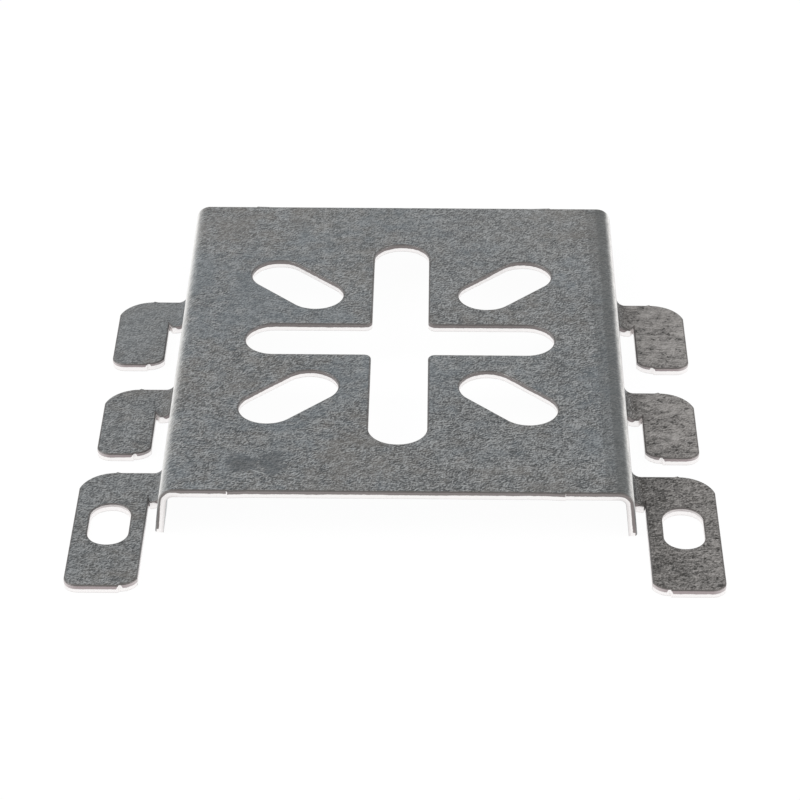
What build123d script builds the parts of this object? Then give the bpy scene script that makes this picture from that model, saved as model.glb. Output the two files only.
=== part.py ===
"""Slotted mounting bracket: one piece of 1.5 mm zinc-coated sheet, punched flat and then folded.

Frame: +X right, +Y rear, +Z up.  Z = 0 is the plane that the six tabs rest on, X = 0 is the
mirror plane, and Y = 0 is the middle of the overall depth.  Sizes along Y are laid out from the
centre of the cross, which stands frame_shift_y behind that origin.
"""
from build123d import *
from math import acos, cos, degrees, radians, sin, tan
import os

# Sheet and folded section
sheet = 1.5                  # thickness of the strip
overall_height = 9.1         # from the tabs' undersides to the plate's upper face
plate_corner_x = 40.9        # where the upper face and the flange's outer face would meet
flange_lean = 6.4            # degrees that each flange leans outward from vertical
plate_bend_radius = 1.2      # inside radius of the bend from plate to flange
tab_bend_radius = 1.8        # inside radius of the bend from flange to tab
flange_clearance = 0.3       # outer edge of the flange above the plane that the tabs rest on

# Plate and its slots
plate_depth = 100.0
slot_width = 10.5            # one punch width makes the cross and the four slanted slots
cross_span_x = 57.3
cross_span_y = 70.2
cross_corner_radius = 1.35   # metal corners left where the two slots of the cross meet
slant_offset = 19.8          # each slanted slot's centre from the cross's centre, in X and in Y
slant_length = 20.7
slant_angle = 45.0

# Punch joints: small burrs and steps where one punch stroke meets the next
stroke_joint_x = 29.2        # ends of the middle stroke along the plate's front and rear edges
stroke_burr_height = 0.25
stroke_burr_length = 3.5
tab_burr_height = 0.3        # tick where a tab's large corner begins
tab_burr_length = 0.7
nick_radius = 0.3            # nick in a tab's front edge, beside its inner corner
relief_depth = 1.0           # pointed relief between a tab's inner edge and its neck
relief_width = 0.65

# Tabs: a neck turns out of the flange and carries a finger that points forward
neck_width = 9.25
neck_land = 0.2              # flat left between the end of the bend and the start of the outline
large_corner_radius = 6.5    # rear outer corner
large_corner_inset = 6.3     # its centre from the outer edge, which leaves a slight kink there
outer_corner_radius = 2.5    # front outer corner
inner_corner_radius = 3.0    # front inner corner
inner_corner_inset = 2.8     # its centre from the inner edge
inner_corner_step = 0.4      # the inner corner ends this far behind the front edge

hook_outer_x = 54.25         # the four plain hooks
hook_inner_x = 44.5
rear_hook_y = 25.5           # rear edge of each rear hook
rear_hook_length = 22.9
middle_hook_y = -5.95
middle_hook_length = 21.75

lug_outer_x = 56.15          # the two front lugs
lug_inner_x = 43.6
lug_y = -33.5
lug_length = 34.1
lug_slot_width = 7.1
lug_slot_length = 12.1
lug_slot_setback = 18.2      # slot's centre behind the lug's front edge

# Worked out from the sizes above
half_depth = plate_depth / 2
frame_shift_y = -(half_depth + stroke_burr_height + lug_y - lug_length) / 2
lean = radians(flange_lean)
edge_z = flange_clearance
plate_under_z = overall_height - sheet


def flange_x(z: float, depth: float = 0.0) -> float:
    """X at height z of the flange's outer face, or of the face that lies depth inside it."""
    return plate_corner_x + (overall_height - z) * tan(lean) - depth / cos(lean)


tab_flat_x = flange_x(sheet) + tab_bend_radius * tan((radians(90) - lean) / 2) + neck_land
edge_x = flange_x(edge_z)
tabs = [  # outer edge, inner edge, rear edge, length
    (hook_outer_x, hook_inner_x, rear_hook_y, rear_hook_length),
    (hook_outer_x, hook_inner_x, middle_hook_y, middle_hook_length),
    (lug_outer_x, lug_inner_x, lug_y, lug_length),
]
neck_rears = [rear_y for _, _, rear_y, _ in tabs]
span_rears = [half_depth] + [rear_y - neck_width for rear_y in neck_rears]
span_fronts = neck_rears + [-half_depth]


def section_plane(y: float) -> Plane:
    """Upright plane at y, measured from the cross's centre, that looks towards the front."""
    return Plane.XZ.offset(-(y + frame_shift_y))


def folded_section(upper: list, upper_radii: list, lower: list, lower_radii: list) -> Sketch:
    """Half of a section through the sheet, between its two faces, each a line with round bends."""
    with BuildSketch() as section:
        with BuildLine():
            upper_face = FilletPolyline(*upper, radius=upper_radii)
            lower_face = FilletPolyline(*lower, radius=lower_radii)
            Line(upper_face @ 0, lower_face @ 0)
            Line(upper_face @ 1, lower_face @ 1)
        make_face()
    return section.sketch


def tab_outline(outer_x: float, inner_x: float, rear_y: float, length: float) -> Sketch:
    """One right-hand tab's flat outline, from the end of its bend outward."""
    front_y = rear_y - length
    neck_y = rear_y - neck_width
    large = (outer_x - large_corner_inset, rear_y - large_corner_radius)
    outer = (outer_x - outer_corner_radius, front_y + outer_corner_radius)
    inner = (inner_x + inner_corner_inset, front_y + inner_corner_step + inner_corner_radius)
    large_start = degrees(acos(large_corner_inset / large_corner_radius))
    inner_start = 180 + degrees(acos(inner_corner_inset / inner_corner_radius))
    with BuildSketch() as outline:
        with BuildLine():
            large_arc = CenterArc(large, large_corner_radius, large_start, 90 - large_start)
            outer_arc = CenterArc(outer, outer_corner_radius, 270, 90)
            inner_arc = CenterArc(inner, inner_corner_radius, inner_start, 270 - inner_start)
            Line(outer_arc @ 1, large_arc @ 0)
            Polyline(large_arc @ 1, (tab_flat_x, rear_y), (tab_flat_x, neck_y),
                     (inner_x, neck_y), inner_arc @ 0)
            Polyline(inner_arc @ 1, (inner[0], front_y), outer_arc @ 0)
        make_face()
        Polygon((large[0] - tab_burr_length, rear_y), (large[0], rear_y + tab_burr_height),
                (large[0] + tab_burr_length, rear_y - tab_burr_height), align=None)
        Polygon((inner_x, neck_y), (inner_x - relief_width, neck_y),
                (inner_x, neck_y + relief_depth), align=None, mode=Mode.SUBTRACT)
        with Locations((inner[0], front_y + nick_radius / 2)):
            Circle(nick_radius, mode=Mode.SUBTRACT)
    return outline.sketch


flange_section = folded_section(
    [(0, overall_height), (plate_corner_x, overall_height), (edge_x, edge_z)],
    [plate_bend_radius + sheet],
    [(0, plate_under_z), (flange_x(plate_under_z, sheet), plate_under_z),
     (edge_x - sheet * cos(lean), edge_z - sheet * sin(lean))],
    [plate_bend_radius])
neck_section = folded_section(
    [(0, overall_height), (plate_corner_x, overall_height),
     (flange_x(sheet), sheet), (tab_flat_x, sheet)],
    [plate_bend_radius + sheet, tab_bend_radius],
    [(0, plate_under_z), (flange_x(plate_under_z, sheet), plate_under_z),
     (flange_x(0, sheet), 0), (tab_flat_x, 0)],
    [plate_bend_radius, tab_bend_radius + sheet])

with BuildPart() as bracket:
    # Plate, bend and flange between the necks
    for rear_y, front_y in zip(span_rears, span_fronts):
        with BuildSketch(section_plane(rear_y)):
            add(flange_section)
        extrude(amount=rear_y - front_y)
    # Necks that turn out of the flange
    for rear_y in neck_rears:
        with BuildSketch(section_plane(rear_y)):
            add(neck_section)
        extrude(amount=neck_width)
    # Flat tabs, their outlines punched with the blank
    with BuildSketch(Plane((0, frame_shift_y, 0))):
        for tab in tabs:
            add(tab_outline(*tab))
        with Locations(((lug_outer_x + lug_inner_x) / 2, lug_y - lug_length + lug_slot_setback)):
            SlotOverall(lug_slot_length, lug_slot_width, rotation=90, mode=Mode.SUBTRACT)
    extrude(amount=sheet)
    mirror(about=Plane.YZ)
    # Burrs that the middle stroke leaves on the plate's front and rear edges
    with BuildSketch(Plane((0, frame_shift_y, overall_height))):
        for side in (1, -1):
            for edge in (1, -1):
                Polygon((side * stroke_joint_x, edge * half_depth),
                        (side * stroke_joint_x, edge * (half_depth + stroke_burr_height)),
                        (side * (stroke_joint_x - stroke_burr_length), edge * half_depth),
                        align=None)
    extrude(amount=-sheet)
    # The cross and the four slanted slots around it
    with BuildSketch(Plane((0, frame_shift_y, overall_height))) as slots:
        SlotOverall(cross_span_x, slot_width)
        SlotOverall(cross_span_y, slot_width, rotation=90)
        fillet(slots.vertices().group_by(lambda corner: Vector(corner).length)[0],
               radius=cross_corner_radius)
        for side in (1, -1):
            for edge in (1, -1):
                with Locations((side * slant_offset, edge * slant_offset)):
                    SlotOverall(slant_length, slot_width, rotation=side * edge * slant_angle)
    extrude(amount=-sheet, mode=Mode.SUBTRACT)

bracket.part.label = "bracket"
os.makedirs("parts", exist_ok=True)
export_step(bracket.part, "parts/bracket.step")
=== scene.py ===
"""Slotted mounting bracket in zinc-coated sheet, with its studio and camera.

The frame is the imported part: metres, +X right, +Y rear, +Z up, Z = 0 under the tabs.  Classes that
describe the sheet hold their sizes in millimetres, measured from the centre of the cross, and the
finished mesh is scaled and moved into the frame once.
"""
import logging
from dataclasses import dataclass, field
from enum import Enum
from math import acos, cos, degrees, hypot, pi, radians, sin, tan
from typing import Callable, Iterable, Sequence

import bmesh
import bpy
import numpy as np
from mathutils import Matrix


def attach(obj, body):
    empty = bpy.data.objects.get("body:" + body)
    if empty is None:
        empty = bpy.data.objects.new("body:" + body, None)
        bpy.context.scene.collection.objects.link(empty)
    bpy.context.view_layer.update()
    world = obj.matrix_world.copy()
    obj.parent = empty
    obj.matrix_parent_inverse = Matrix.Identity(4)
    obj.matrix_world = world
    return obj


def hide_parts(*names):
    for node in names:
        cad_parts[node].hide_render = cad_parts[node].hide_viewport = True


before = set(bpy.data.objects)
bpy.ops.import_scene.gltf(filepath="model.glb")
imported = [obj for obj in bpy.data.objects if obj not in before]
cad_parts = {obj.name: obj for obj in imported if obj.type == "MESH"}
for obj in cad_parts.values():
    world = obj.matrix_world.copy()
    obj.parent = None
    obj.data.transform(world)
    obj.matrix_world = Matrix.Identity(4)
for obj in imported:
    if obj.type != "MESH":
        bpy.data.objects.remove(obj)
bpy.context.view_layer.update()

log = logging.getLogger("bracket")
Point = tuple[float, float, float]
Span = tuple[float, float]
Colour = tuple[float, float, float, float]
MM = 0.001    # metres in a millimetre
TOUCH = 1e-3  # millimetres within which two points count as one
NEAR = 0.05   # millimetres that a cut may leave a point off its drawn place
CLEAR = 1.0   # millimetres that keep a choice by place off the next feature


class Side(Enum):
    """Which half of the bracket a thing belongs to."""

    LEFT = -1
    RIGHT = 1


class Bench:
    """Edit-mode steps on one mesh object, each acting on what is selected by place."""

    def __init__(self, name: str) -> None:
        """Starts a mesh as a single point at the origin.

        Args:
            name: name of the new object.
        """
        bpy.ops.object.select_all(action="DESELECT")
        bpy.ops.mesh.primitive_plane_add(size=1.0, location=(0, 0, 0))
        self.obj = bpy.context.object
        self.obj.name = name
        self.obj.data.name = name
        self.edit()
        bpy.ops.mesh.select_all(action="SELECT")
        bpy.ops.mesh.merge(type="CENTER")

    @classmethod
    def around(cls, obj: bpy.types.Object) -> "Bench":
        """A bench that holds an object which already exists.

        Args:
            obj: the object, which becomes the only one selected.

        Returns:
            The bench.
        """
        bench = cls.__new__(cls)
        bench.obj = obj
        bpy.ops.object.select_all(action="DESELECT")
        obj.select_set(True)
        bpy.context.view_layer.objects.active = obj
        return bench

    def edit(self) -> None:
        """Enters edit mode."""
        bpy.ops.object.mode_set(mode="EDIT")

    def rest(self) -> None:
        """Leaves edit mode."""
        bpy.ops.object.mode_set(mode="OBJECT")

    def pick(self, kind: str, test: Callable[[Sequence[Point]], bool]) -> int:
        """Selects elements of one kind by the places of their points.

        Args:
            kind: "verts", "edges" or "faces".
            test: says from an element's points whether it is selected.

        Returns:
            How many elements were selected.
        """
        bpy.ops.mesh.select_mode(type={"verts": "VERT", "edges": "EDGE", "faces": "FACE"}[kind])
        bpy.ops.mesh.select_all(action="DESELECT")
        mesh = bmesh.from_edit_mesh(self.obj.data)
        count = 0
        for item in getattr(mesh, kind):
            points = [item.co] if kind == "verts" else [v.co for v in item.verts]
            if test([tuple(p) for p in points]):
                item.select_set(True)
                count += 1
        mesh.select_flush_mode()
        bmesh.update_edit_mesh(self.obj.data)
        return count

    def pull(self, shift: Point) -> None:
        """Extrudes the selection and moves the new part by shift."""
        bpy.ops.mesh.extrude_region_move(TRANSFORM_OT_translate={"value": shift})

    def swing(self, centre: Point, axis: Point, angle: float, steps: int) -> None:
        """Spins the selection by an angle, counter-clockwise when the axis points at the viewer."""
        bpy.ops.mesh.spin(steps=steps, angle=-angle, center=centre, axis=axis)

    def weld(self) -> None:
        """Merges points that lie on one another."""
        bpy.ops.mesh.select_mode(type="VERT")
        bpy.ops.mesh.select_all(action="SELECT")
        bpy.ops.mesh.remove_doubles(threshold=TOUCH)

    def apply(self, kind: str, **settings: object) -> None:
        """Adds a modifier and applies it.

        Args:
            kind: the modifier's type.
            settings: its properties.
        """
        modifier = self.obj.modifiers.new(kind.lower(), kind)
        for name, value in settings.items():
            setattr(modifier, name, value)
        bpy.ops.object.modifier_apply(modifier=modifier.name)


class Pen:
    """Draws an outline at one height by pulling and spinning the one selected point."""

    def __init__(self, bench: Bench, x: float, y: float, z: float) -> None:
        """Takes up the point of the bench's mesh that stands at this place."""
        self.bench, self.x, self.y, self.z = bench, x, y, z
        bench.pick("verts", lambda p: hypot(p[0][0] - x, p[0][1] - y) < TOUCH
                   and abs(p[0][2] - z) < TOUCH)

    def line(self, x: float, y: float) -> "Pen":
        """Draws a straight edge.

        Args:
            x: where it ends across the sheet.
            y: where it ends along the sheet.

        Returns:
            The pen.
        """
        self.bench.pull((x - self.x, y - self.y, 0))
        self.x, self.y = x, y
        return self

    def arc(self, cx: float, cy: float, angle: float, steps: int) -> "Pen":
        """Draws an arc about (cx, cy).

        Args:
            cx: centre across the sheet.
            cy: centre along the sheet.
            angle: degrees turned, positive counter-clockwise seen from above.
            steps: number of facets.

        Returns:
            The pen.
        """
        turn = radians(angle)
        self.bench.swing((cx, cy, self.z), (0, 0, 1), turn, steps)
        dx, dy = self.x - cx, self.y - cy
        self.x = cx + dx * cos(turn) - dy * sin(turn)
        self.y = cy + dx * sin(turn) + dy * cos(turn)
        return self


@dataclass(frozen=True)
class Strip:
    """The sheet and the two folds of each flange."""

    sheet: float = 1.5
    height: float = 9.1
    corner_x: float = 40.9
    lean: float = radians(6.4)
    plate_bend: float = 1.2
    tab_bend: float = 1.8
    skirt_z: float = 0.3
    half_depth: float = 50.0

    def flange_x(self, z: "float | np.ndarray") -> "float | np.ndarray":
        """X of the flange's outer face at height z."""
        return self.corner_x + (self.height - z) * tan(self.lean)

    @property
    def fold(self) -> float:
        """Angle of each fold."""
        return pi / 2 - self.lean

    @property
    def outer_bend(self) -> float:
        """Radius of the plate bend on the outside."""
        return self.plate_bend + self.sheet

    @property
    def plate_centre(self) -> Span:
        """Centre of the bend from plate to flange, in X and Z."""
        z = self.height - self.outer_bend
        return self.flange_x(z) - self.outer_bend / cos(self.lean), z

    @property
    def tab_centre(self) -> Span:
        """Centre of the bend from flange to tab, in X and Z."""
        z = self.sheet + self.tab_bend
        return self.flange_x(z) + self.tab_bend / cos(self.lean), z

    @property
    def flange_ends(self) -> Span:
        """Heights between which the flange's outer face is flat above a tab."""
        return (self.plate_centre[1] + self.outer_bend * sin(self.lean),
                self.tab_centre[1] - self.tab_bend * sin(self.lean))

    def down(self, drop: float) -> Point:
        """Move along the right-hand flange that loses drop in height."""
        return drop * tan(self.lean), 0.0, -drop

    def unroll(self, place: np.ndarray, in_neck: np.ndarray) -> np.ndarray:
        """Where points lie in the sheet before it was folded.

        Args:
            place: one row per point, in millimetres.
            in_neck: true for points of a tab or its neck.

        Returns:
            Rows of distance across the strip, distance along it, and depth below the upper face as
            a share of the thickness.
        """
        side = np.where(place[:, 0] < 0, -1.0, 1.0)
        x, z = np.abs(place[:, 0]), place[:, 2]
        (x1, z1), (x2, z2) = self.plate_centre, self.tab_centre
        upper, lower = self.outer_bend - self.sheet / 2, self.tab_bend + self.sheet / 2
        length = (self.flange_ends[0] - self.flange_ends[1]) / cos(self.lean)
        turned = np.arctan2(x - x1, z - z1)
        along = (x - x1) * sin(self.lean) - (z - z1) * cos(self.lean)
        swept = np.arctan2(x - x2, z2 - z) + self.fold
        plate, bend = x <= x1, (turned < self.fold) & (z > z1)
        parts = [plate, bend, ~in_neck | (along < length), x < x2]
        across = np.select(parts, [
            x, x1 + turned * upper, x1 + self.fold * upper + along,
            x1 + self.fold * upper + length + swept * lower],
            x1 + self.fold * (upper + lower) + length + x - x2)
        depth = np.select(parts, [
            self.height - z, self.outer_bend - np.hypot(x - x1, z - z1),
            (self.flange_x(z) - x) * cos(self.lean), np.hypot(x - x2, z - z2) - self.tab_bend],
            self.sheet - z)
        return np.stack([side * across, place[:, 1], depth / self.sheet], axis=1)


@dataclass(frozen=True)
class Tab:
    """One right-hand tab: a neck out of the flange and a finger that points forward."""

    outer_x: float
    inner_x: float
    rear_y: float
    length: float
    neck_width: float = 9.25
    large_radius: float = 6.5
    large_inset: float = 6.3
    outer_radius: float = 2.5
    inner_radius: float = 3.0
    inner_inset: float = 2.8
    inner_step: float = 0.4
    burr_height: float = 0.3
    burr_length: float = 0.7
    relief_depth: float = 1.0
    relief_width: float = 0.65
    nick: float = 0.3
    nick_points: tuple[Span, ...] = ((0.87, 0.0), (0.75, 1.0), (0.0, 1.45))
    large_facets: int = 14
    small_facets: int = 8

    @property
    def neck_y(self) -> float:
        """Front edge of the neck."""
        return self.rear_y - self.neck_width

    @property
    def front_y(self) -> float:
        """Front edge of the finger."""
        return self.rear_y - self.length

    def holds(self, y: "float | np.ndarray") -> "bool | np.ndarray":
        """Whether a place along the flange lies in the neck."""
        return (y > self.neck_y - TOUCH) & (y < self.rear_y + TOUCH)

    def draw(self, bench: Bench, neck_x: float, z: float) -> None:
        """Draws the tab's outline from the end of its bend and fills it.

        Args:
            bench: the mesh of the right-hand half.
            neck_x: where the bend ends.
            z: height of the tab's upper face.
        """
        large = (self.outer_x - self.large_inset, self.rear_y - self.large_radius)
        inner = (self.inner_x + self.inner_inset, self.front_y + self.inner_step + self.inner_radius)
        join = acos(self.large_inset / self.large_radius)
        catch = acos(self.burr_length / 2 / self.large_radius)
        pen = Pen(bench, neck_x, self.rear_y, z)
        pen.line(large[0] - self.burr_length, self.rear_y)
        pen.line(large[0], self.rear_y + self.burr_height)
        pen.line(large[0] + self.large_radius * cos(catch), large[1] + self.large_radius * sin(catch))
        pen.arc(*large, degrees(join - catch), self.large_facets)
        pen.line(self.outer_x, self.front_y + self.outer_radius)
        pen.arc(self.outer_x - self.outer_radius, self.front_y + self.outer_radius, -90,
                self.small_facets)
        for across, deep in self.nick_points:
            pen.line(inner[0] + across * self.nick, self.front_y + deep * self.nick)
        pen.line(inner[0], inner[1] - self.inner_radius)
        pen.arc(*inner, degrees(acos(self.inner_inset / self.inner_radius)) - 90, self.small_facets)
        pen.line(self.inner_x, self.neck_y + self.relief_depth)
        pen.line(self.inner_x - self.relief_width, self.neck_y)
        pen.line(neck_x, self.neck_y)
        bench.weld()
        front, rear = self.front_y - CLEAR, self.rear_y + CLEAR
        bench.pick("edges", lambda p: all(abs(q[2] - z) < TOUCH and q[0] > neck_x - TOUCH
                                          and front < q[1] < rear for q in p))
        bpy.ops.mesh.edge_face_add()


@dataclass(frozen=True)
class Slot:
    """A round-ended hole made by one punch."""

    x: float
    y: float
    length: float
    width: float
    angle: float
    z: float
    facets: int = 64
    punch_height: float = 6.0

    def punch(self) -> bpy.types.Object:
        """Makes the punch: a cylinder with its two halves drawn apart.

        Returns:
            The punch, in its place.
        """
        bpy.ops.object.select_all(action="DESELECT")
        bpy.ops.mesh.primitive_cylinder_add(
            vertices=self.facets, radius=self.width / 2, depth=self.punch_height,
            location=(0, 0, 0), rotation=(0, 0, pi / self.facets))
        bench = Bench.around(bpy.context.object)
        bpy.ops.object.transform_apply(rotation=True)
        bench.edit()
        for side in Side:
            bench.pick("verts", lambda p: p[0][0] * side.value > 0)
            bpy.ops.transform.translate(value=(side.value * (self.length - self.width) / 2, 0, 0))
        bench.rest()
        bench.obj.rotation_euler = (0, 0, self.angle)
        bench.obj.location = (self.x, self.y, self.z)
        return bench.obj


@dataclass
class Bracket:
    """The folded sheet with its slots, hooks and lugs."""

    strip: Strip = field(default_factory=Strip)
    shift_y: float = 8.675
    hooks: tuple[Tab, ...] = (Tab(54.25, 44.5, 25.5, 22.9), Tab(54.25, 44.5, -5.95, 21.75))
    lug: Tab = Tab(56.15, 43.6, -33.5, 34.1)
    stroke_x: float = 29.2
    stroke_burr: float = 0.25
    stroke_length: float = 3.5
    slot_width: float = 10.5
    cross_x: float = 57.3
    cross_y: float = 70.2
    cross_corner: float = 1.35
    slant_offset: float = 19.8
    slant_length: float = 20.7
    lug_slot_width: float = 7.1
    lug_slot_length: float = 12.1
    lug_slot_setback: float = 18.2
    lug_slot_facets: int = 48
    skirt_gap: float = 0.15
    gap_head: float = 0.3
    die_roll: float = 0.30
    break_edge: float = 0.05
    eased_from: float = radians(50)
    face_share: float = 0.02
    smooth_until: float = radians(35)
    bend_facets: int = 12
    corner_facets: int = 8
    edge_facets: int = 3

    @property
    def tabs(self) -> tuple[Tab, ...]:
        """The three tabs of one side, from rear to front."""
        return *self.hooks, self.lug

    def build(self) -> bpy.types.Object:
        """Models the bracket and places it in the frame.

        Returns:
            The finished object, in metres.
        """
        bench = self.draw_plate()
        self.fold_flange(bench)
        for tab in self.tabs:
            tab.draw(bench, self.strip.tab_centre[0], self.strip.sheet)
        self.thicken(bench)
        self.punch_slots(bench)
        self.ease_edges(bench)
        self.place(bench)
        return bench.obj

    def draw_plate(self) -> Bench:
        """Draws the right-hand half of the plate, with stops where the necks begin and end.

        Returns:
            The bench that holds it.
        """
        bench = Bench("bracket_sheet")
        strip, start = self.strip, self.strip.plate_centre[0]
        rear, front = strip.half_depth, -strip.half_depth
        joint = self.stroke_x - self.stroke_length
        bench.pick("verts", lambda p: True)
        bpy.ops.transform.translate(value=(0, rear, strip.height))
        pen = Pen(bench, 0, rear, strip.height)
        pen.line(joint, rear).line(self.stroke_x, rear + self.stroke_burr).line(self.stroke_x, rear)
        pen.line(start, rear)
        for tab in self.tabs:
            pen.line(start, tab.rear_y).line(start, tab.neck_y)
        pen.line(start, front).line(self.stroke_x, front)
        pen.line(self.stroke_x, front - self.stroke_burr).line(joint, front).line(0, front)
        bench.pick("verts", lambda p: True)
        bpy.ops.mesh.edge_face_add()
        return bench

    def fold_flange(self, bench: Bench) -> None:
        """Bends the flange down and turns the three necks out of it.

        Args:
            bench: the half plate.
        """
        strip = self.strip
        (plate_x, plate_z), (tab_x, tab_z) = strip.plate_centre, strip.tab_centre
        high, low = strip.flange_ends
        bench.pick("edges", lambda p: all(abs(q[0] - plate_x) < TOUCH for q in p))
        bench.swing((plate_x, 0, plate_z), (0, 1, 0), strip.fold, self.bend_facets)
        bench.pull(strip.down(high - low))

        def at_low_edge(points: Sequence[Point]) -> bool:
            """Whether an edge lies along the end of the flange's flat."""
            return all(abs(q[2] - low) < TOUCH for q in points)

        def in_a_neck(points: Sequence[Point]) -> bool:
            """Whether an edge lies in one neck."""
            return any(all(tab.holds(q[1]) for q in points) for tab in self.tabs)

        bench.pick("edges", lambda p: at_low_edge(p) and in_a_neck(p))
        bench.swing((tab_x, 0, tab_z), (0, 1, 0), -strip.fold, self.bend_facets)
        bench.pick("edges", lambda p: at_low_edge(p) and not in_a_neck(p))
        bench.pull(strip.down(low - strip.skirt_z))
        for tab in self.tabs:
            for y, way in ((tab.rear_y, 1), (tab.neck_y, -1)):
                bench.pick("verts", lambda p: abs(p[0][2] - strip.skirt_z) < TOUCH
                           and abs(p[0][1] - y) < TOUCH)
                bpy.ops.transform.translate(value=(0, way * self.skirt_gap, 0))

    def thicken(self, bench: Bench) -> None:
        """Turns the drawn half into the whole sheet.

        Args:
            bench: the folded upper face of the right-hand half.
        """
        bench.weld()
        bpy.ops.mesh.normals_make_consistent(inside=False)
        bench.rest()
        if max(bench.obj.data.polygons, key=lambda face: face.area).normal.z < 0:
            bench.edit()
            bpy.ops.mesh.select_all(action="SELECT")
            bpy.ops.mesh.flip_normals()
            bench.rest()
        bench.apply("MIRROR", use_clip=True, merge_threshold=TOUCH)
        bench.apply("SOLIDIFY", thickness=self.strip.sheet, offset=-1.0, use_even_offset=True,
                    use_quality_normals=True)

    @property
    def slots(self) -> list[Slot]:
        """All the slots.

        Returns:
            Those of the plate and the lugs, in the order in which they are punched.
        """
        top = self.strip.height - self.strip.sheet / 2
        found = [Slot(0, 0, self.cross_x, self.slot_width, 0, top),
                 Slot(0, 0, self.cross_y, self.slot_width, pi / 2, top)]
        lug_x = (self.lug.outer_x + self.lug.inner_x) / 2
        lug_y = self.lug.front_y + self.lug_slot_setback
        for side in Side:
            found.append(Slot(side.value * lug_x, lug_y, self.lug_slot_length, self.lug_slot_width,
                              pi / 2, self.strip.sheet / 2, self.lug_slot_facets))
            for way in (-1, 1):
                found.append(Slot(side.value * self.slant_offset, way * self.slant_offset,
                                  self.slant_length, self.slot_width, side.value * way * pi / 4, top))
        return found

    def punch_slots(self, bench: Bench) -> None:
        """Cuts every slot, and rounds the four metal corners of the cross.

        Args:
            bench: the whole sheet.
        """
        for slot in self.slots:
            punch = slot.punch()
            Bench.around(bench.obj)
            bench.apply("BOOLEAN", object=punch, operation="DIFFERENCE", solver="EXACT")
            bpy.data.objects.remove(punch)
        half = self.slot_width / 2
        bench.edit()
        bench.weld()
        bench.pick("edges", lambda p: abs(p[0][2] - p[1][2]) > self.strip.sheet / 2
                   and all(abs(abs(q[0]) - half) < NEAR and abs(abs(q[1]) - half) < NEAR for q in p))
        bpy.ops.mesh.bevel(offset=self.cross_corner, segments=self.corner_facets, affect="EDGES")
        bench.weld()
        bench.rest()

    def strip_places(self, mesh: bpy.types.Mesh) -> np.ndarray:
        """Unrolls every point of the mesh.

        Args:
            mesh: the folded sheet.

        Returns:
            Rows of distance across and along the strip, and depth as a share of the thickness.
        """
        place = np.empty(3 * len(mesh.vertices))
        mesh.vertices.foreach_get("co", place)
        place = place.reshape(-1, 3)
        in_neck = np.any([tab.holds(place[:, 1]) for tab in self.tabs], axis=0)
        in_neck |= np.abs(place[:, 0]) > self.strip.flange_x(0) + TOUCH
        return self.strip.unroll(place, in_neck)

    def ease_edges(self, bench: Bench) -> None:
        """Rounds the upper cut edges as the punch draws them in, and breaks the lower ones.

        Args:
            bench: the punched sheet.
        """
        mesh = bench.obj.data
        depth = self.strip_places(mesh)[:, 2]
        bench.edit()
        work = bmesh.from_edit_mesh(mesh)
        weight = work.edges.layers.float.new("bevel_weight_edge")
        for edge in work.edges:
            eased = len(edge.link_faces) == 2 and edge.calc_face_angle() > self.eased_from
            if eased and not self.beside_neck(edge):
                ends = [depth[v.index] for v in edge.verts]
                if max(ends) < self.face_share:
                    edge[weight] = 1.0
                elif min(ends) > 1 - self.face_share:
                    edge[weight] = self.break_edge / self.die_roll
        bmesh.update_edit_mesh(mesh)
        bench.rest()
        bench.apply("BEVEL", width=self.die_roll, segments=self.edge_facets, limit_method="WEIGHT",
                    use_clamp_overlap=False, miter_outer="MITER_SHARP")

    def beside_neck(self, edge: bmesh.types.BMEdge) -> bool:
        """Whether an edge is the skirt's side of the narrow gap beside a neck.

        Args:
            edge: an edge of the folded sheet.

        Returns:
            True if it is one.
        """
        strip = self.strip
        low, high = sorted(v.co.z for v in edge.verts)
        within = abs(edge.verts[0].co.y) < strip.half_depth - CLEAR
        return within and low < strip.skirt_z + TOUCH and high > strip.flange_ends[1] - self.gap_head

    def place(self, bench: Bench) -> None:
        """Stores the unrolled places, then moves the sheet into the frame and smooths its shading.

        Args:
            bench: the finished sheet, in millimetres.
        """
        mesh = bench.obj.data
        spot = self.strip_places(mesh) * (MM, MM, -MM * self.strip.sheet)
        mesh.attributes.new("strip", "FLOAT_VECTOR", "POINT").data.foreach_set("vector", spot.ravel())
        bench.obj.scale = (MM, MM, MM)
        bench.obj.location = (0, MM * self.shift_y, 0)
        bpy.ops.object.transform_apply(location=True, scale=True)
        bpy.ops.object.shade_smooth_by_angle(angle=self.smooth_until)
        bench.apply("WEIGHTED_NORMAL", mode="FACE_AREA", keep_sharp=True)


@dataclass(frozen=True)
class Mottle:
    """A noise pattern on the unrolled sheet, whose spots are about size metres across.

    The spots are drawn out stretch times along a line turned by turn from X.  Detail, rough and
    twist are the Noise node's own.  Swing is how far the pattern moves about zero when it sways, and
    edge holds the values between which a single spot begins to show and shows in full.
    """

    size: float
    detail: float = 2.0
    rough: float = 0.5
    twist: float = 0.0
    turn: float = 0.0
    stretch: float = 1.0
    swing: float = 1.0
    edge: Span = (0.0, 1.0)


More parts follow.
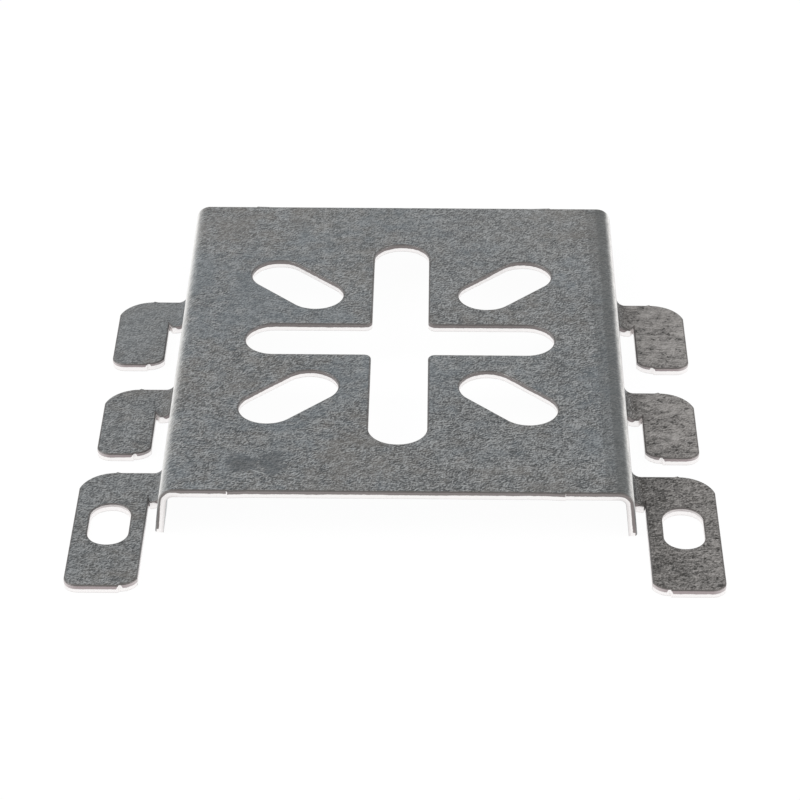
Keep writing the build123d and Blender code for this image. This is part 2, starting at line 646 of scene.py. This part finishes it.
class Value:
    """A shader number that takes part in Python expressions."""

    def __init__(self, board: "NodeBoard", socket: bpy.types.NodeSocket) -> None:
        """Wraps an output socket of a node on the board."""
        self.board, self.socket = board, socket

    def _math(self, operation: str, *values: "Value | float") -> "Value":
        """Adds one Math node."""
        return self.board.node("ShaderNodeMath", {"operation": operation}, dict(enumerate(values)))

    def __add__(self, other: "Value | float") -> "Value":
        """Sum."""
        return self._math("ADD", self, other)

    def __sub__(self, other: "Value | float") -> "Value":
        """Difference."""
        return self._math("SUBTRACT", self, other)

    def __rsub__(self, other: float) -> "Value":
        """Difference from a number."""
        return self._math("SUBTRACT", other, self)

    def __mul__(self, other: "Value | float") -> "Value":
        """Product."""
        return self._math("MULTIPLY", self, other)

    def __abs__(self) -> "Value":
        """Distance from zero."""
        return self._math("ABSOLUTE", self)

    __radd__ = __add__
    __rmul__ = __mul__

    def step(self, low: float = 0.0, high: float = 1.0) -> "Value":
        """Rises smoothly from 0 at low to 1 at high, or falls where high is the lower one."""
        return self.board.node("ShaderNodeMapRange", {"interpolation_type": "SMOOTHSTEP"},
                               {"Value": self, "From Min": low, "From Max": high})

    def band(self, low: float, high: float, soft: float) -> "Value":
        """1 between low and high, fading to 0 over soft on either side."""
        return self.step(low - soft, low) * (1 - self.step(high, high + soft))

    def fit(self, low: "Value | float", high: "Value | float") -> "Value":
        """Maps 0 to 1 onto low to high."""
        return self * (high - low) + low


def total(values: Iterable[Value]) -> Value:
    """Sum of one or more values."""
    first, *others = values
    return sum(others, first)


class NodeBoard:
    """The node tree of one material."""

    def __init__(self, name: str) -> None:
        """Starts an empty material.

        Args:
            name: the material's name.
        """
        self.material = bpy.data.materials.new(name)
        self.material.use_nodes = True
        self.tree = self.material.node_tree
        self.tree.nodes.clear()

    def node(self, kind: str, settings: dict[str, object], inputs: dict[str | int, object],
             output: str | int = 0) -> Value:
        """Adds any node.

        Args:
            kind: the node's type.
            settings: its properties, set before its sockets are used.
            inputs: values or links by socket name or number.
            output: the output that is handed back.

        Returns:
            The chosen output.
        """
        made = self.tree.nodes.new(kind)
        for name, value in settings.items():
            setattr(made, name, value)
        for name, value in inputs.items():
            if isinstance(value, Value):
                self.tree.links.new(value.socket, made.inputs[name])
            else:
                made.inputs[name].default_value = value
        return Value(self, made.outputs[output]) if made.outputs else Value(self, None)

    def mix(self, share: "Value | float", one: object, other: object) -> Value:
        """Colour between one and other."""
        return self.node("ShaderNodeMix", {"data_type": "RGBA"},
                         {0: share, 6: one, 7: other}, output=2)


class SheetBoard(NodeBoard):
    """The node tree of a finish that follows the unrolled sheet."""

    def __init__(self, name: str) -> None:
        """Starts a material that knows where each point lay before the sheet was folded.

        Args:
            name: the material's name.
        """
        super().__init__(name)
        self.spot = self.node("ShaderNodeAttribute", {"attribute_name": "strip"}, {}, output="Vector")
        self.across, self.along, height = (
            self.node("ShaderNodeSeparateXYZ", {}, {"Vector": self.spot}, output=axis) for axis in "XYZ")
        self.depth = height * -1
        self.reach = abs(self.across)
        self.right = self.across.step(-MM, MM)
        self.mirrored = self.node("ShaderNodeCombineXYZ", {}, {"X": self.reach, "Y": self.along})
        facing = self.node("ShaderNodeTexCoord", {}, {}, output="Normal")
        self.sideways = abs(self.node("ShaderNodeSeparateXYZ", {}, {"Vector": facing}, output="X"))

    def noise(self, mottle: Mottle, shift: Point = (0, 0, 0)) -> Value:
        """The pattern on the sheet, from 0 to 1.

        Args:
            mottle: the pattern.
            shift: how far from each point it is read.

        Returns:
            Its value.
        """
        spot = self.spot
        if any(shift):
            spot = self.node("ShaderNodeVectorMath", {}, {0: spot, 1: shift})
        if mottle.stretch != 1:
            spot = self.node("ShaderNodeMapping", {"vector_type": "TEXTURE"}, {
                "Vector": spot, "Rotation": (0, 0, mottle.turn), "Scale": (mottle.stretch, 1, 1)})
        return self.node("ShaderNodeTexNoise", {}, {
            "Vector": spot, "Scale": 1 / mottle.size, "Detail": mottle.detail,
            "Roughness": mottle.rough, "Distortion": mottle.twist})

    def sway(self, mottle: Mottle) -> Value:
        """The pattern moving about zero."""
        return (self.noise(mottle) - 0.5) * mottle.swing

    def spots(self, mottle: Mottle) -> Value:
        """Where the pattern's single spots show."""
        return self.noise(mottle).step(*mottle.edge)

    def threads(self, mottle: Mottle) -> Value:
        """Thin lines where the pattern crosses its middle, thinner the larger its swing."""
        return 1 - abs(self.sway(mottle)).step()


@dataclass(frozen=True)
class Patch:
    """An oval mark on the unrolled sheet, in millimetres from the middle of the cross."""

    x: float
    y: float
    half_long: float
    half_wide: float
    turn: float = 0.0
    soft: float = 0.4
    both_sides: bool = False
    share: float = 1.0

    def away(self, board: SheetBoard) -> Value:
        """Distance from the centre, which is 1 on the outline."""
        inside = board.node("ShaderNodeMapping", {"vector_type": "TEXTURE"}, {
            "Vector": board.mirrored if self.both_sides else board.spot,
            "Location": (self.x * MM, self.y * MM, 0), "Rotation": (0, 0, self.turn),
            "Scale": (self.half_long * MM, self.half_wide * MM, 1)})
        return board.node("ShaderNodeVectorMath", {"operation": "LENGTH"}, {0: inside}, output="Value")

    def cover(self, board: SheetBoard, ragged: "Value | float" = 0.0) -> Value:
        """The mark's share inside and 0 outside, with an outline that ragged breaks up."""
        inside = 1 - (self.away(board) + ragged).step(1 - self.soft, 1 + self.soft)
        return inside * self.share


@dataclass(frozen=True)
class Stripe:
    """A soft-sided stripe that runs along the sheet, by distance from its middle line."""

    low: float
    high: float
    soft: float
    share: float = 1.0

    def cover(self, board: SheetBoard) -> Value:
        """The stripe's share inside, and 0 outside."""
        return board.reach.band(self.low, self.high, self.soft) * self.share


@dataclass(frozen=True)
class Layer:
    """A colour, and how far it hides what lies under it."""

    colour: Colour
    share: float = 1.0

    def over(self, board: NodeBoard, under: Value, mask: Value) -> Value:
        """Lays the colour over another where the mask is 1."""
        return board.mix(mask * self.share, under, self.colour)


@dataclass(frozen=True)
class ZincFinish:
    """Dull hot-dip zinc on the sheet's faces, and bare steel in its cuts.

    Places are in metres on the sheet laid flat: across it from its middle line, along it from the
    middle of the cross, and down from its upper face.  A span runs from where a zone begins to
    where it is complete.  Shares run from 0 to 1, and a tone is what a pattern adds to its face.
    """

    name: str = "zinc_sheet"

    # Colours of the coated faces
    light_zinc: Colour = (0.400, 0.410, 0.412, 1)
    dark_zinc: Colour = (0.050, 0.053, 0.055, 1)
    blue_zinc: Layer = Layer((0.150, 0.178, 0.200, 1), 0.45)
    warm_zinc: Layer = Layer((0.190, 0.174, 0.156, 1), 0.40)
    rubbed_zinc: Layer = Layer((0.070, 0.080, 0.088, 1), 0.60)
    # painted shade: a dark band on the right-hand plate bend
    shade_band_zinc: Layer = Layer((0.098, 0.103, 0.103, 1))
    # painted shade inside the right-hand tab bends
    crease_shade_zinc: Layer = Layer((0.058, 0.054, 0.050, 1))
    # painted highlight on the outer plate bends
    bend_highlight_zinc: Layer = Layer((0.84, 0.83, 0.81, 1))
    light_brushed: Colour = (0.400, 0.380, 0.365, 1)
    dark_brushed: Colour = (0.036, 0.033, 0.030, 1)
    brushed_share: float = 0.90
    # painted light on the lower faces, standing for light reflected from the white floor
    under_light_share: float = 0.45
    swirl_share: float = 0.30

    # Colours of the cut edges
    # painted shade: the die roll is darkened to stand for a dark reflection, less where it faces sideways
    roll_shade: Layer = Layer((0.118, 0.108, 0.104, 1), 0.95)
    roll_shade_fade: float = 0.7
    burnish: Colour = (0.190, 0.166, 0.163, 1)
    dull_burnish: Colour = (0.150, 0.143, 0.135, 1)
    tab_burnish: Colour = (0.310, 0.262, 0.266, 1)
    fracture: Colour = (0.95, 0.925, 0.920, 1)
    torn: Colour = (0.62, 0.59, 0.585, 1)
    torn_hole: float = 0.8
    # painted light: tab cut walls that face sideways are lightened towards torn steel
    torn_side_light: float = 0.5
    torn_fleck: float = 0.35
    torn_foot: float = 0.30
    torn_flange_foot: float = 0.45
    joint_fade: float = 0.6

    # Gloss and relief
    coat_metal: float = 0.85
    highlight_metal_loss: float = 0.75
    coat_rough: Span = (0.55, 0.36)
    under_gloss: float = 0.35
    steel_rough: Span = (0.34, 0.42)
    relief_height: float = 0.00006
    relief_strength: float = 0.6

    # Places across the sheet
    stroke_joint: float = 0.0292
    joint_width: Span = (0.00007, 0.00016)
    # where the painted shade band on the right-hand plate bend begins and deepens
    shade_band_from: Span = (0.0362, 0.0364)
    deeper_shade_from: Span = (0.0379, 0.0385)
    # where the painted highlight on the outer plate bends rises, left and right, and where it ends
    left_highlight: Span = (0.0387, 0.0417)
    right_highlight: Span = (0.0392, 0.0408)
    highlight_until: Span = (0.0417, 0.0431)
    flange_end_from: Span = (0.0370, 0.0390)
    flange_end_until: Span = (0.0478, 0.0480)
    # painted light on the flange's outer faces, standing for reflected surroundings
    flange_outside_light: Stripe = Stripe(0.0413, 0.0487, 0.0006, 0.55)
    neck_turn: Span = (0.0432, 0.0454)
    tab_zone: Span = (0.0450, 0.0487)
    # where the painted shade inside the right-hand tab bends lies
    bend_inside: Stripe = Stripe(0.0452, 0.0487, 0.0006)
    # painted glints along the neck bends, on both sides
    left_glint: Stripe = Stripe(0.0459, 0.0467, 0.0004, 0.30)
    right_glint: Stripe = Stripe(0.04700, 0.04715, 0.00006, 0.22)
    chip: Span = (0.04700, 0.04725)
    chip_ragged: float = 0.0006
    tab_middle: float = 0.0560

    # Places along the sheet
    rear_zone: Span = (-0.030, 0.060)
    hook_zone: Span = (-0.032, -0.022)
    glint_until: Span = (-0.036, -0.034)
    front_until: Span = (-0.0502, -0.0497)
    necks: tuple[Span, ...] = ((0.01625, 0.02550), (-0.01520, -0.00595), (-0.04275, -0.03350))
    neck_soft: float = 0.0001

    # Depths in the cut, and how far the border of its smooth band rises or drops
    roll: Span = (0.000005, 0.00019)
    cut_from: Span = (0.00017, 0.00022)
    cut_until: Span = (0.00144, 0.00149)
    under_from: Span = (0.00147, 0.00150)
    upper_until: Span = (0.0001, 0.0003)
    border: Span = (0.00067, 0.00077)
    foot_from: Span = (0.00120, 0.00145)
    flange_foot_from: Span = (0.00100, 0.00115)
    ragged_rise: float = 0.00022
    tab_drop: float = 0.00005
    hole_rise: float = 0.00020
    hook_rise: float = 0.00014
    left_rise: float = 0.00026
    notch_rise: float = 0.00060

    # Tone of the grain: pairs are for plate and tab, and for front and rear
    middle_tone: float = 0.40
    base_tone: float = 0.21
    curl_tone: float = 0.42
    speck_tone: float = 1.60
    rear_tone: Span = (0.04, 0.07)
    calm_tab: Span = (0.26, 0.52)
    calm_rear: float = 0.30
    calm_rub: float = 0.35
    calm_most: float = 0.70
    level_curl_loss: float = 0.8

    # Tone and tint of the flat faces
    tone_range: Span = (-0.02, 1.02)
    blue_range: Span = (0.44, 0.62)
    blue_right_loss: float = 0.04
    blue_tab_loss: float = 0.55
    warm_range: Span = (0.50, 0.66)
    swirl_ring: float = 1.45
    swirl_width: float = 0.10

    # Tone of the brushed tabs: the fine streaks' and the blotches' for lugs and for hooks
    fine_tone: Span = (0.14, 0.06)
    tab_blotch_tone: Span = (0.26, 0.42)
    streak_tone: float = 0.46
    grain_tone: float = 0.30
    hook_tone: float = 0.12
    outward_tone: float = 8.0
    pit_tone: float = 0.22
    pit_where: Span = (0.60, 0.40)
    brushed_base: float = 0.075
    brushed_range: Span = (0.26, 0.82)

    # Painted light and shade on the folds: the highlight's share by the bends' lines, by the grain, and at
    # least, then the shares of the painted shade band and the grain range of the painted crease shade
    left_highlight_mix: Point = (0.2, 0.2, 0.80)
    right_highlight_mix: Point = (0.7, 0.3, 0.30)
    shade_band_share: float = 0.35
    deeper_shade_share: float = 0.40
    crease_shade_grain: Span = (0.75, 0.05)

    # Patterns
    rub_edge: Mottle = Mottle(0.0020, 3.0, 0.75, swing=2.2)
    curl_gate: Mottle = Mottle(0.0013, 0.0, edge=(0.42, 0.58))
    slanted_curl: Mottle = Mottle(0.00078, 1.0, twist=0.8, turn=radians(42), stretch=2.0, swing=8.5)
    level_curl: Mottle = Mottle(0.000624, 1.0, twist=0.8, turn=radians(-8), stretch=2.2, swing=8.5)
    speck: Mottle = Mottle(0.00040, 2.0, 0.6)
    speck_shift: Point = (0.00010, -0.00013, 0)
    blotch: Mottle = Mottle(0.0028, 2.0, 0.6, swing=0.30)
    drift: Mottle = Mottle(0.016, 3.0, 0.55, swing=0.20)
    cloud: Mottle = Mottle(0.0045, 3.0, 0.7)
    wide_cloud: Mottle = Mottle(0.030, 1.0)
    swirl: Mottle = Mottle(0.0030, 1.0, edge=(0.48, 0.60))
    streak: Mottle = Mottle(0.00072, 2.0, 0.6, twist=0.3, turn=radians(3), stretch=2.2)
    fine_streak: Mottle = Mottle(0.00045, 1.0, 0.6, edge=(0.30, 0.70))
    tab_blotch: Mottle = Mottle(0.0024, 2.0, 0.6, stretch=1.5)
    pit: Mottle = Mottle(0.00090, 1.0, twist=0.4, edge=(0.34, 0.42))
    draw_line: Mottle = Mottle(0.0006, 2.0, 0.6, turn=pi / 2, stretch=6.0)
    wander: Mottle = Mottle(0.0060, 1.0, swing=0.00024)
    ragged: Mottle = Mottle(0.0008, 2.0, 0.6)
    fleck: Mottle = Mottle(0.00026, 2.0, 0.6, edge=(0.55, 0.80))

    # Single marks
    rubs: tuple[Patch, ...] = (Patch(-27.2, -41.6, 2.3, 3.0, soft=0.25),
                               Patch(-22.0, -41.4, 2.4, 3.4, soft=0.35, share=0.9))
    smudge: Patch = Patch(-20.2, 42.8, 2.6, 3.2, share=0.4)
    scratch: Patch = Patch(-24.1, -44.2, 1.6, 0.14, radians(-27), share=0.65)
    lug_hole: Patch = Patch(55.2, -49.4, 4.4, 7.2, both_sides=True)
    # painted light: the relief notches' walls are made all fracture-white to lighten their shade; the three
    # small nicks get fracture-white spots
    lit_notches_and_nicks: tuple[Patch, ...] = tuple(
        Patch(x, y, long, wide, both_sides=True) for x, y, long, wide in (
            (49.6, 16.5, 1.3, 1.5), (49.6, -15.0, 1.3, 1.5), (48.7, -42.5, 1.3, 1.5),
            (52.7, 2.8, 0.45, 0.45), (52.7, -27.5, 0.45, 0.45), (51.8, -67.4, 0.45, 0.45)))

    def material(self) -> bpy.types.Material:
        """Builds the finish.

        Returns:
            The material.
        """
        board = SheetBoard(self.name)
        rubbed = self.rubbed(board)
        curls = self.curls(board)
        grain = self.grain(board, curls, rubbed)
        zinc = self.faces(board, grain, rubbed)
        zinc, highlight = self.folds(board, zinc, grain)
        # painted shade on the die roll, standing for a dark reflection, fading on faces that turn sideways
        roll = board.depth.band(*self.roll, self.roll[0]) * (1 - board.sideways * self.roll_shade_fade)
        zinc = self.roll_shade.over(board, zinc, roll)
        cut = board.depth.step(*self.cut_from) * (1 - board.depth.step(*self.cut_until))
        steel, broken = self.cut_edge(board)
        # painted light: the lower faces and the flange's outer faces are lightened towards light zinc,
        # standing for reflections of the white floor and surroundings
        under = board.depth.step(*self.under_from)
        turned = self.in_neck(board) * board.reach.step(*self.neck_turn)
        outside = self.flange_outside_light.cover(board) * (1 - turned)
        zinc = board.mix(under * self.under_light_share + outside, zinc, self.light_zinc)
        metal = (1 - cut) * (self.coat_metal - highlight * self.highlight_metal_loss) + cut * broken
        coat_rough = (1 - cut) * grain.fit(*self.coat_rough) * (1 - under * self.under_gloss)
        rough = coat_rough + cut * broken.fit(*self.steel_rough)
        bump = board.node("ShaderNodeBump", {}, {
            "Strength": self.relief_strength, "Distance": self.relief_height,
            "Height": curls * (1 - cut) * (1 - roll)})
        shader = board.node("ShaderNodeBsdfPrincipled", {}, {
            "Base Color": board.mix(cut, zinc, steel), "Metallic": metal, "Roughness": rough,
            "Normal": bump})
        board.node("ShaderNodeOutputMaterial", {}, {"Surface": shader})
        return board.material

    def in_neck(self, board: SheetBoard) -> Value:
        """1 in the stretches of the flange that turn out into a tab."""
        return total(board.along.band(low, high, self.neck_soft) for low, high in self.necks)

    def on_tab(self, board: SheetBoard) -> Value:
        """1 on the tabs, rising from 0 over the bend that leads to them."""
        return board.reach.step(*self.tab_zone)

    def by_hooks(self, board: SheetBoard) -> Value:
        """1 along the four hooks, and 0 along the two lugs."""
        return board.along.step(*self.hook_zone)

    def rubbed(self, board: SheetBoard) -> Value:
        """Where the plate is rubbed smooth and stained."""
        ragged = board.sway(self.rub_edge)
        return total(patch.cover(board, ragged) for patch in (*self.rubs, self.smudge))

    def curls(self, board: SheetBoard) -> Value:
        """Thin light threads of zinc, slanted in some places and level in others.

        Args:
            board: the finish's nodes.

        Returns:
            1 along the threads.
        """
        gate = board.spots(self.curl_gate)
        level = board.threads(self.level_curl) * (1 - gate * self.level_curl_loss)
        return board.threads(self.slanted_curl) * gate + level

    def grain(self, board: SheetBoard, curls: Value, rubbed: Value) -> Value:
        """Fine grain of the zinc, which is softer towards the rear and where it is rubbed.

        Args:
            board: the finish's nodes.
            curls: its threads.
            rubbed: where it is rubbed.

        Returns:
            Tone of the grain, from 0 to 1 and about 0.4 on the whole.
        """
        emboss = board.noise(self.speck) - board.noise(self.speck, self.speck_shift)
        grain = curls * self.curl_tone + emboss * self.speck_tone + board.sway(self.blotch) + self.base_tone
        rear, tab = board.along.step(*self.rear_zone), self.on_tab(board)
        calm = (rear * self.calm_rear + rubbed * self.calm_rub + tab * rear.fit(*self.calm_tab)).step()
        grain = (grain - self.middle_tone) * (1 - calm * self.calm_most) + self.middle_tone
        return grain + rear * tab.fit(*self.rear_tone)

    def faces(self, board: SheetBoard, grain: Value, rubbed: Value) -> Value:
        """Colour of the flat zinc: grey grain, bluish and warm drifts, and brushed right-hand tabs.

        Args:
            board: the finish's nodes.
            grain: its grain.
            rubbed: where it is rubbed.

        Returns:
            The colour.
        """
        tone = (grain + board.sway(self.drift)).step(*self.tone_range)
        zinc = board.mix(tone, self.dark_zinc, self.light_zinc)
        tint = (board.noise(self.cloud) + board.noise(self.wide_cloud)) * 0.5
        blue = (tint - board.right * self.blue_right_loss).step(*self.blue_range)
        blue = blue * (1 - self.on_tab(board) * self.blue_tab_loss)
        zinc = self.blue_zinc.over(board, zinc, blue)
        zinc = self.warm_zinc.over(board, zinc, (1 - tint).step(*self.warm_range))
        zinc = self.rubbed_zinc.over(board, zinc, rubbed.step())
        ring = 1 - abs(self.rubs[0].away(board) - self.swirl_ring).step(0.0, self.swirl_width)
        light = self.scratch.cover(board) + ring * board.spots(self.swirl) * self.swirl_share
        zinc = board.mix(light, zinc, self.light_zinc)
        right_tabs = board.across.step(*self.tab_zone) * self.brushed_share
        return board.mix(right_tabs, zinc, self.brushed(board, grain))

    def brushed(self, board: SheetBoard, grain: Value) -> Value:
        """Colour of the right-hand tabs: brownish, pitted, and streaked across the strip.

        Args:
            board: the finish's nodes.
            grain: the zinc's own grain.

        Returns:
            The colour.
        """
        hooks, blotches = self.by_hooks(board), board.noise(self.tab_blotch)
        pits = (1 - board.spots(self.pit)) * blotches.step(*self.pit_where)
        light = (board.reach - self.tab_middle) * self.outward_tone + hooks * self.hook_tone
        tone = board.noise(self.streak) * self.streak_tone
        tone = tone + board.spots(self.fine_streak) * hooks.fit(*self.fine_tone)
        tone = tone + (blotches - 0.5) * hooks.fit(*self.tab_blotch_tone)
        tone = tone + grain * self.grain_tone + light + self.brushed_base - pits * self.pit_tone
        return board.mix(tone.step(*self.brushed_range), self.dark_brushed, self.light_brushed)

    def folds(self, board: SheetBoard, zinc: Value, grain: Value) -> tuple[Value, Value]:
        """Adds painted light and shade on the folds: highlights, a shade band, crease shade and glints.

        Args:
            board: the finish's nodes.
            zinc: colour of the flat faces.
            grain: their grain.

        Returns:
            The colour, and the share of painted highlight on a fold, from 0 to 1.
        """
        left, right = 1 - board.right, board.right
        above = 1 - board.depth.step(*self.upper_until)
        ends = 1 - board.reach.step(*self.highlight_until)
        # painted shade on the right-hand plate bend, standing for a dark reflection, deeper towards the
        # flange
        shade_band = board.reach.step(*self.shade_band_from) * self.shade_band_share
        shade_band = shade_band + board.reach.step(*self.deeper_shade_from) * self.deeper_shade_share
        zinc = self.shade_band_zinc.over(board, zinc, shade_band * right * above * ends)
        lines = board.noise(self.draw_line)
        # painted highlight on the outer plate bends, wider and brighter on the left
        highlight = total(
            board.reach.step(*where) * side * (lines * by_lines + grain * by_grain + least)
            for where, side, (by_lines, by_grain, least) in (
                (self.left_highlight, left, self.left_highlight_mix), (self.right_highlight, right, self.right_highlight_mix)))
        highlight = highlight.step() * above * ends
        zinc = self.bend_highlight_zinc.over(board, zinc, highlight)
        neck = self.in_neck(board) * above
        # painted shade inside the right-hand bends that turn the necks out into tabs, broken up by the
        # grain
        folded = self.bend_inside.cover(board) * right * neck * grain.step(*self.crease_shade_grain)
        zinc = self.crease_shade_zinc.over(board, zinc, folded)
        # painted glints along the neck bends
        glint = self.left_glint.cover(board) * left + self.right_glint.cover(board) * right
        glint = glint * neck * (1 - board.along.step(*self.glint_until))
        return board.mix(glint, zinc, self.light_zinc), highlight

    def cut_edge(self, board: SheetBoard) -> tuple[Value, Value]:
        """The cut through the sheet: a smooth burnished band above, broken steel below.

        Args:
            board: the finish's nodes.

        Returns:
            Its colour, and how broken a point is, from 0 to 1.
        """
        front = 1 - board.along.step(*self.front_until)
        flange = board.reach.step(*self.flange_end_from) * (
            1 - board.reach.step(*self.flange_end_until)) * front
        left_end = flange * (1 - board.right)
        on_tab = self.on_tab(board) * (1 - flange)
        ragged, hole = board.sway(self.ragged), self.lug_hole.cover(board)
        # painted light in the relief notches, and fracture-white nicks
        lit_notch = total(patch.cover(board) for patch in self.lit_notches_and_nicks)
        chip = (board.reach + ragged * self.chip_ragged).step(*self.chip) * flange
        hooks = on_tab * self.by_hooks(board)
        depth = (board.depth + ragged * self.ragged_rise + board.sway(self.wander)
                 - on_tab * self.tab_drop + hole * self.hole_rise + hooks * self.hook_rise
                 + left_end * self.left_rise + (lit_notch + chip) * self.notch_rise)
        broken = depth.step(*self.border)
        smooth = board.mix(left_end, board.mix(on_tab, self.burnish, self.tab_burnish), self.dull_burnish)
        # the lug hole's walls are worn to torn steel, and the tabs' cut walls that face sideways get
        # painted light
        worn_and_side_light = hole * self.torn_hole + board.sideways * on_tab * self.torn_side_light
        smooth = board.mix(worn_and_side_light, smooth, self.torn)
        joint = 1 - abs(board.reach - self.stroke_joint).step(*self.joint_width)
        tick = joint * front * (1 - board.right * self.joint_fade)
        smooth = board.mix(tick, smooth, self.fracture)
        foot = board.depth.step(*self.foot_from) * self.torn_foot
        foot = foot + board.depth.step(*self.flange_foot_from) * flange * self.torn_flange_foot
        rough = board.mix(board.spots(self.fleck) * self.torn_fleck + foot, self.fracture, self.torn)
        return board.mix(broken, smooth, rough), broken


@dataclass(frozen=True)
class Lamp:
    """A soft square lamp that faces the bracket: its place, the width of its face, and its watts."""

    name: str
    place: Point
    size: float
    power: float

    def build(self) -> None:
        """Hangs the lamp."""
        bpy.ops.object.select_all(action="DESELECT")
        bpy.ops.object.light_add(type="AREA", location=self.place)
        lamp = bpy.context.object
        lamp.name = lamp.data.name = self.name
        lamp.data.shape = "SQUARE"
        lamp.data.size, lamp.data.energy = self.size, self.power
        x, y, z = self.place
        lamp.rotation_euler = (acos(z / hypot(x, y, z)), 0, np.arctan2(x, -y))


def grey(level: float) -> Colour:
    """The grey of this level."""
    return level, level, level, 1.0


@dataclass(frozen=True)
class Studio:
    """Pale floor, soft light and the camera."""

    camera_place: Point = (0.006645, -0.477791, 0.309175)
    camera_turn: Point = (radians(57.2027), 0.0, radians(0.7811))
    lens: float = 138.462
    sensor: float = 36.0
    clip: Span = (0.01, 20.0)
    floor_size: float = 6.0
    floor_cells: int = 8
    shade: float = 0.035
    paper: float = 0.80
    sky: float = 0.9
    lamps: tuple[Lamp, ...] = (Lamp("key", (-0.55, -0.10, 0.55), 0.5, 3.0),
                               Lamp("fill", (0.60, -0.20, 0.45), 0.5, 2.0))

    def build(self) -> None:
        """Sets up the floor, the world, the lamps and the camera."""
        self.floor()
        self.world()
        for lamp in self.lamps:
            lamp.build()
        self.camera()
        bpy.context.scene.view_settings.view_transform = "Standard"

    def floor(self) -> None:
        """A matt floor that takes a faint shadow and reads as white."""
        bpy.ops.object.select_all(action="DESELECT")
        bpy.ops.mesh.primitive_grid_add(x_subdivisions=self.floor_cells, y_subdivisions=self.floor_cells,
                                        size=self.floor_size, location=(0, 0, 0))
        floor = bpy.context.object
        floor.name = "floor"
        board = NodeBoard("floor_paper")
        camera, glossy, through = (
            board.node("ShaderNodeLightPath", {}, {}, output=f"Is {kind} Ray")
            for kind in ("Camera", "Glossy", "Transmission"))
        shadowed = board.node("ShaderNodeBsdfDiffuse", {}, {"Color": grey(self.shade)})
        glow = board.node("ShaderNodeEmission", {}, {"Color": grey(1.0), "Strength": 1 - self.shade})
        seen = board.node("ShaderNodeAddShader", {}, {0: shadowed, 1: glow})
        matt = board.node("ShaderNodeBsdfDiffuse", {}, {"Color": grey(self.paper)})
        white = board.node("ShaderNodeEmission", {}, {"Color": grey(1.0), "Strength": 1.0})
        other = board.node("ShaderNodeMixShader", {}, {0: (glossy + through).step(), 1: matt, 2: white})
        both = board.node("ShaderNodeMixShader", {}, {0: camera, 1: other, 2: seen})
        board.node("ShaderNodeOutputMaterial", {}, {"Surface": both})
        floor.data.materials.append(board.material)

    def world(self) -> None:
        """Even pale surroundings."""
        world = bpy.data.worlds.new("studio")
        world.use_nodes = True
        bpy.context.scene.world = world
        background = world.node_tree.nodes["Background"]
        background.inputs["Color"].default_value = grey(1.0)
        background.inputs["Strength"].default_value = self.sky

    def camera(self) -> None:
        """Adds the camera."""
        data = bpy.data.cameras.new("camera")
        data.lens, data.sensor_width, data.sensor_fit = self.lens, self.sensor, "HORIZONTAL"
        data.clip_start, data.clip_end = self.clip
        camera = bpy.data.objects.new("camera", data)
        camera.location, camera.rotation_euler = self.camera_place, self.camera_turn
        bpy.context.scene.collection.objects.link(camera)
        bpy.context.scene.camera = camera


def main() -> None:
    """Builds the studio and the bracket, and reports the pieces."""
    logging.basicConfig(level=logging.INFO, format="%(name)s: %(message)s")
    Studio().build()
    sheet = Bracket().build()
    sheet.data.materials.clear()
    sheet.data.materials.append(ZincFinish().material())
    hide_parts("bracket")
    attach(sheet, "root")
    log.info("%s: %d faces", sheet.name, len(sheet.data.polygons))


if __name__ == "__main__":
    main()
